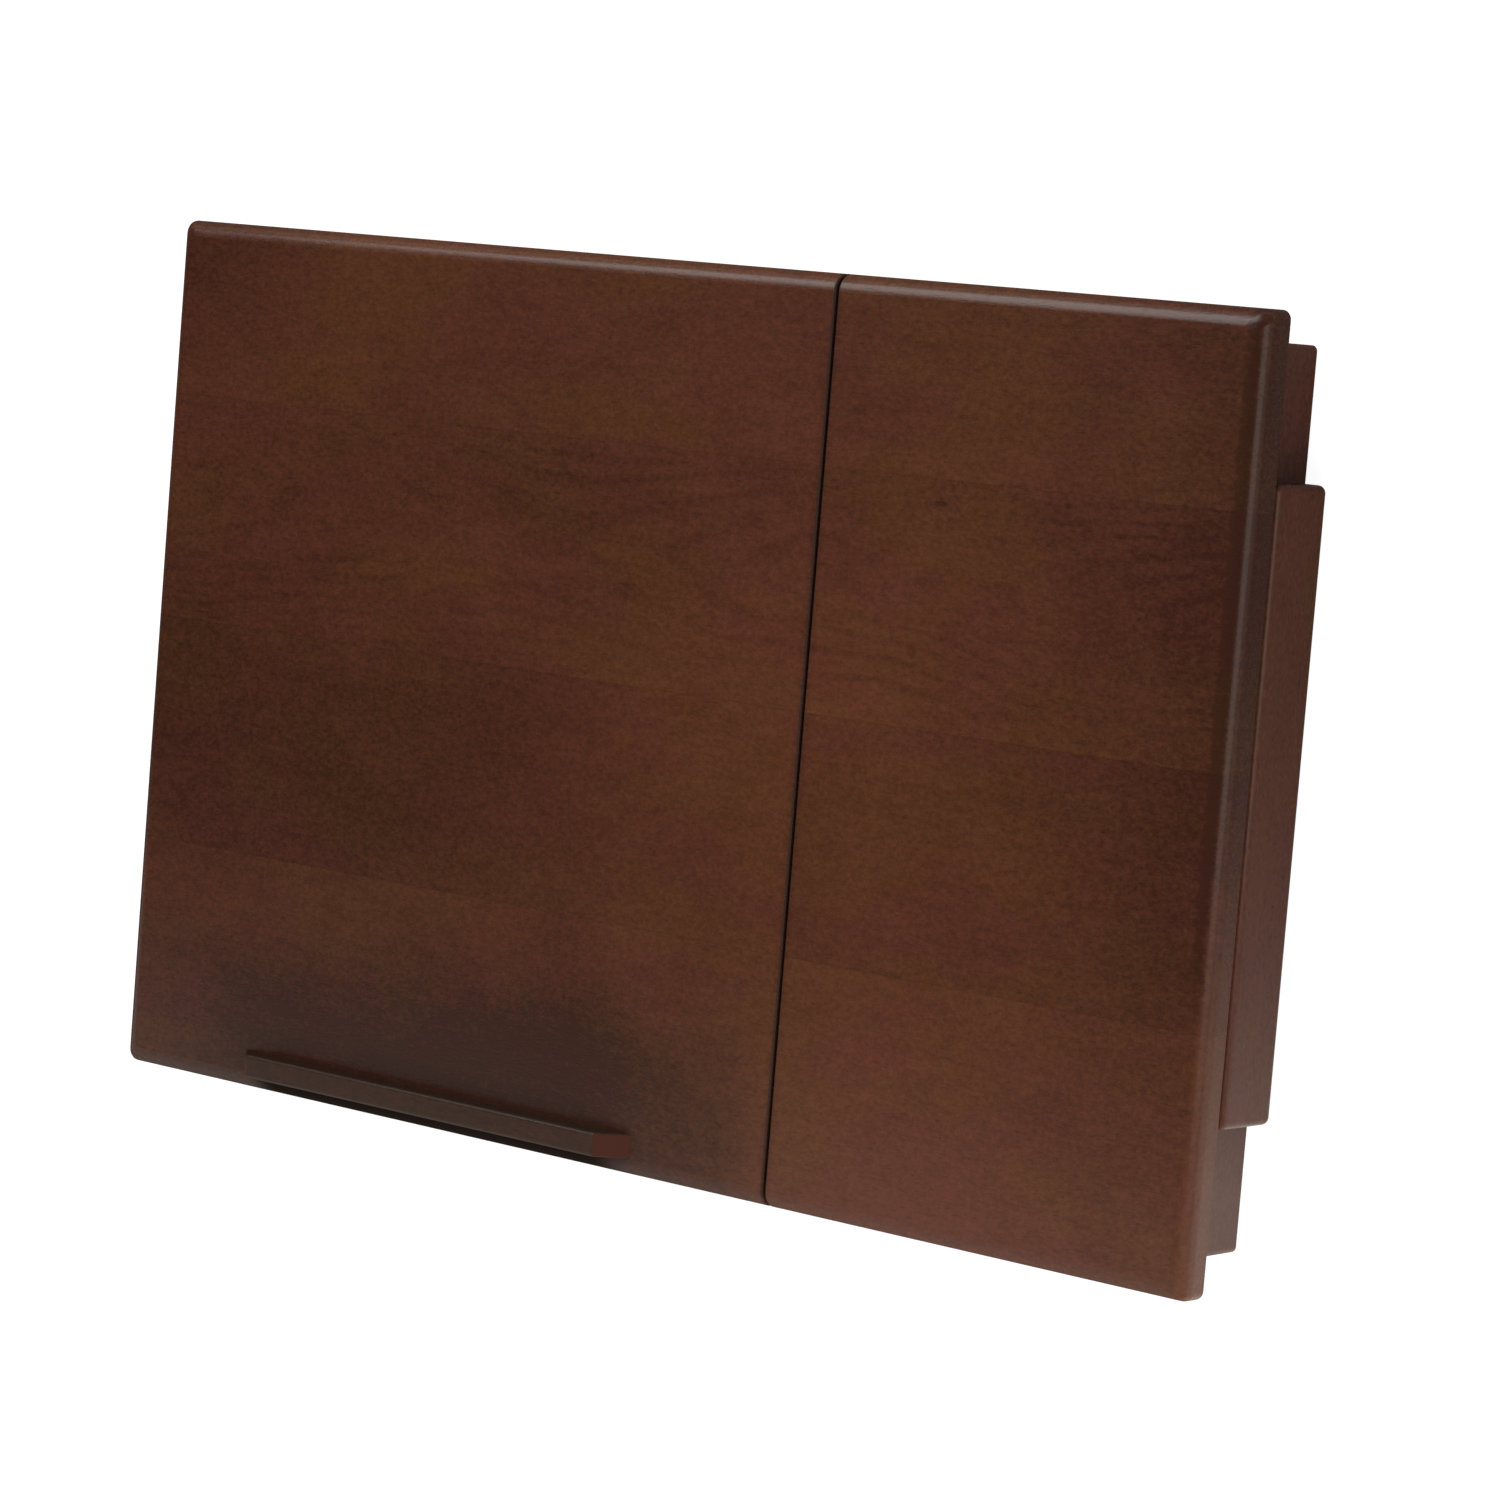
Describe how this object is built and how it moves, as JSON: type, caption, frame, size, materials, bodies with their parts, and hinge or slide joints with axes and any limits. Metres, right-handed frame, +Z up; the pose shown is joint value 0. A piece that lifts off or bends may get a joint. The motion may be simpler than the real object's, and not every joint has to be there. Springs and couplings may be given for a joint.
{
  "type": "lap desk",
  "caption": "Low wooden lap desk: tilting lid with a book ledge over a paper compartment, fixed top over a side drawer, folding legs.",
  "frame": {"origin": "under the middle of the closed desk, level with the bottom of the aprons", "axes": "+X along the desk towards the drawer, +Y from the user's side to the back, +Z up, square to the top"},
  "size_m": [0.6, 0.389, 0.0665],
  "materials": {
    "walnut_stain": "walnut stain under satin lacquer",
    "stained_inner_wood": "walnut stain, thin lacquer",
    "stained_plywood": "stained plywood",
    "hinge_brass": "satin",
    "zinc_steel": "zinc plated",
    "nylon": "natural nylon",
    "pad_rubber": "matt"
  },
  "bodies": {
    "frame": {"fixed_top": "walnut_stain", "front_apron": "walnut_stain", "back_apron": "walnut_stain", "left_apron": "walnut_stain", "centre_divider": "stained_inner_wood", "base_board": "stained_plywood", "end_stile_front": "walnut_stain", "end_stile_back": "walnut_stain", "drawer_lower_rail": "walnut_stain", "drawer_upper_rail": "walnut_stain", "top_cleats": "stained_inner_wood", "drawer_guide_front": "stained_inner_wood", "drawer_guide_back": "stained_inner_wood", "drawer_kickers": "stained_inner_wood", "drawer_stop": "stained_inner_wood", "hinge_frame_leaf_left": "hinge_brass", "hinge_frame_leaf_right": "hinge_brass", "hinge_pins": "hinge_brass", "rack_left": "stained_inner_wood", "rack_right": "stained_inner_wood", "left_leg_pivot_bolts": "zinc_steel", "left_leg_washers": "nylon", "right_leg_pivot_bolts": "zinc_steel", "right_leg_washers": "nylon"},
    "lid": {"lid_panel": "walnut_stain", "book_ledge": "walnut_stain", "hinge_lid_leaf_left": "hinge_brass", "hinge_lid_leaf_right": "hinge_brass", "prop_block_left": "stained_inner_wood", "prop_block_right": "stained_inner_wood", "prop_pins": "zinc_steel"},
    "prop": {"prop_arm_left": "stained_inner_wood", "prop_arm_right": "stained_inner_wood", "prop_rail": "stained_inner_wood", "prop_foot_bar": "stained_inner_wood"},
    "drawer": {"drawer_front": "walnut_stain", "drawer_side_front": "stained_inner_wood", "drawer_side_back": "stained_inner_wood", "drawer_back": "stained_inner_wood", "drawer_inner_front": "stained_inner_wood", "drawer_bottom": "stained_plywood"},
    "left_legs": {"left_leg_post_front": "walnut_stain", "left_leg_post_back": "walnut_stain", "left_leg_rail": "walnut_stain", "left_leg_pads": "pad_rubber"},
    "right_legs": {"right_leg_post_front": "walnut_stain", "right_leg_post_back": "walnut_stain", "right_leg_rail": "walnut_stain", "right_leg_pads": "pad_rubber"}
  },
  "joints": [
    {"name": "lid_hinge", "type": "hinge", "parent": "frame", "child": "lid", "pos_m": [-0.10725, -0.1843, 0.039], "axis": [1, 0, 0], "range_deg": [0, 50]},
    {"name": "prop_fold", "type": "hinge", "parent": "lid", "child": "prop", "pos_m": [-0.10725, -0.0343, 0.0335], "axis": [1, 0, 0], "range_deg": [-100, 0]},
    {"name": "drawer_slide", "type": "slide", "parent": "frame", "child": "drawer", "axis": [1, 0, 0], "range_m": [0, 0.1403]},
    {"name": "left_legs_fold", "type": "hinge", "parent": "frame", "child": "left_legs", "pos_m": [-0.2645, 0, 0.011], "axis": [0, 1, 0], "range_deg": [0, 90]},
    {"name": "right_legs_fold", "type": "hinge", "parent": "frame", "child": "right_legs", "pos_m": [0.2645, 0, 0.011], "axis": [0, -1, 0], "range_deg": [0, 90]}
  ],
  "couplings": [
    {"joint": "prop_fold", "follows": "lid_hinge", "ratio": -2}
  ]
}
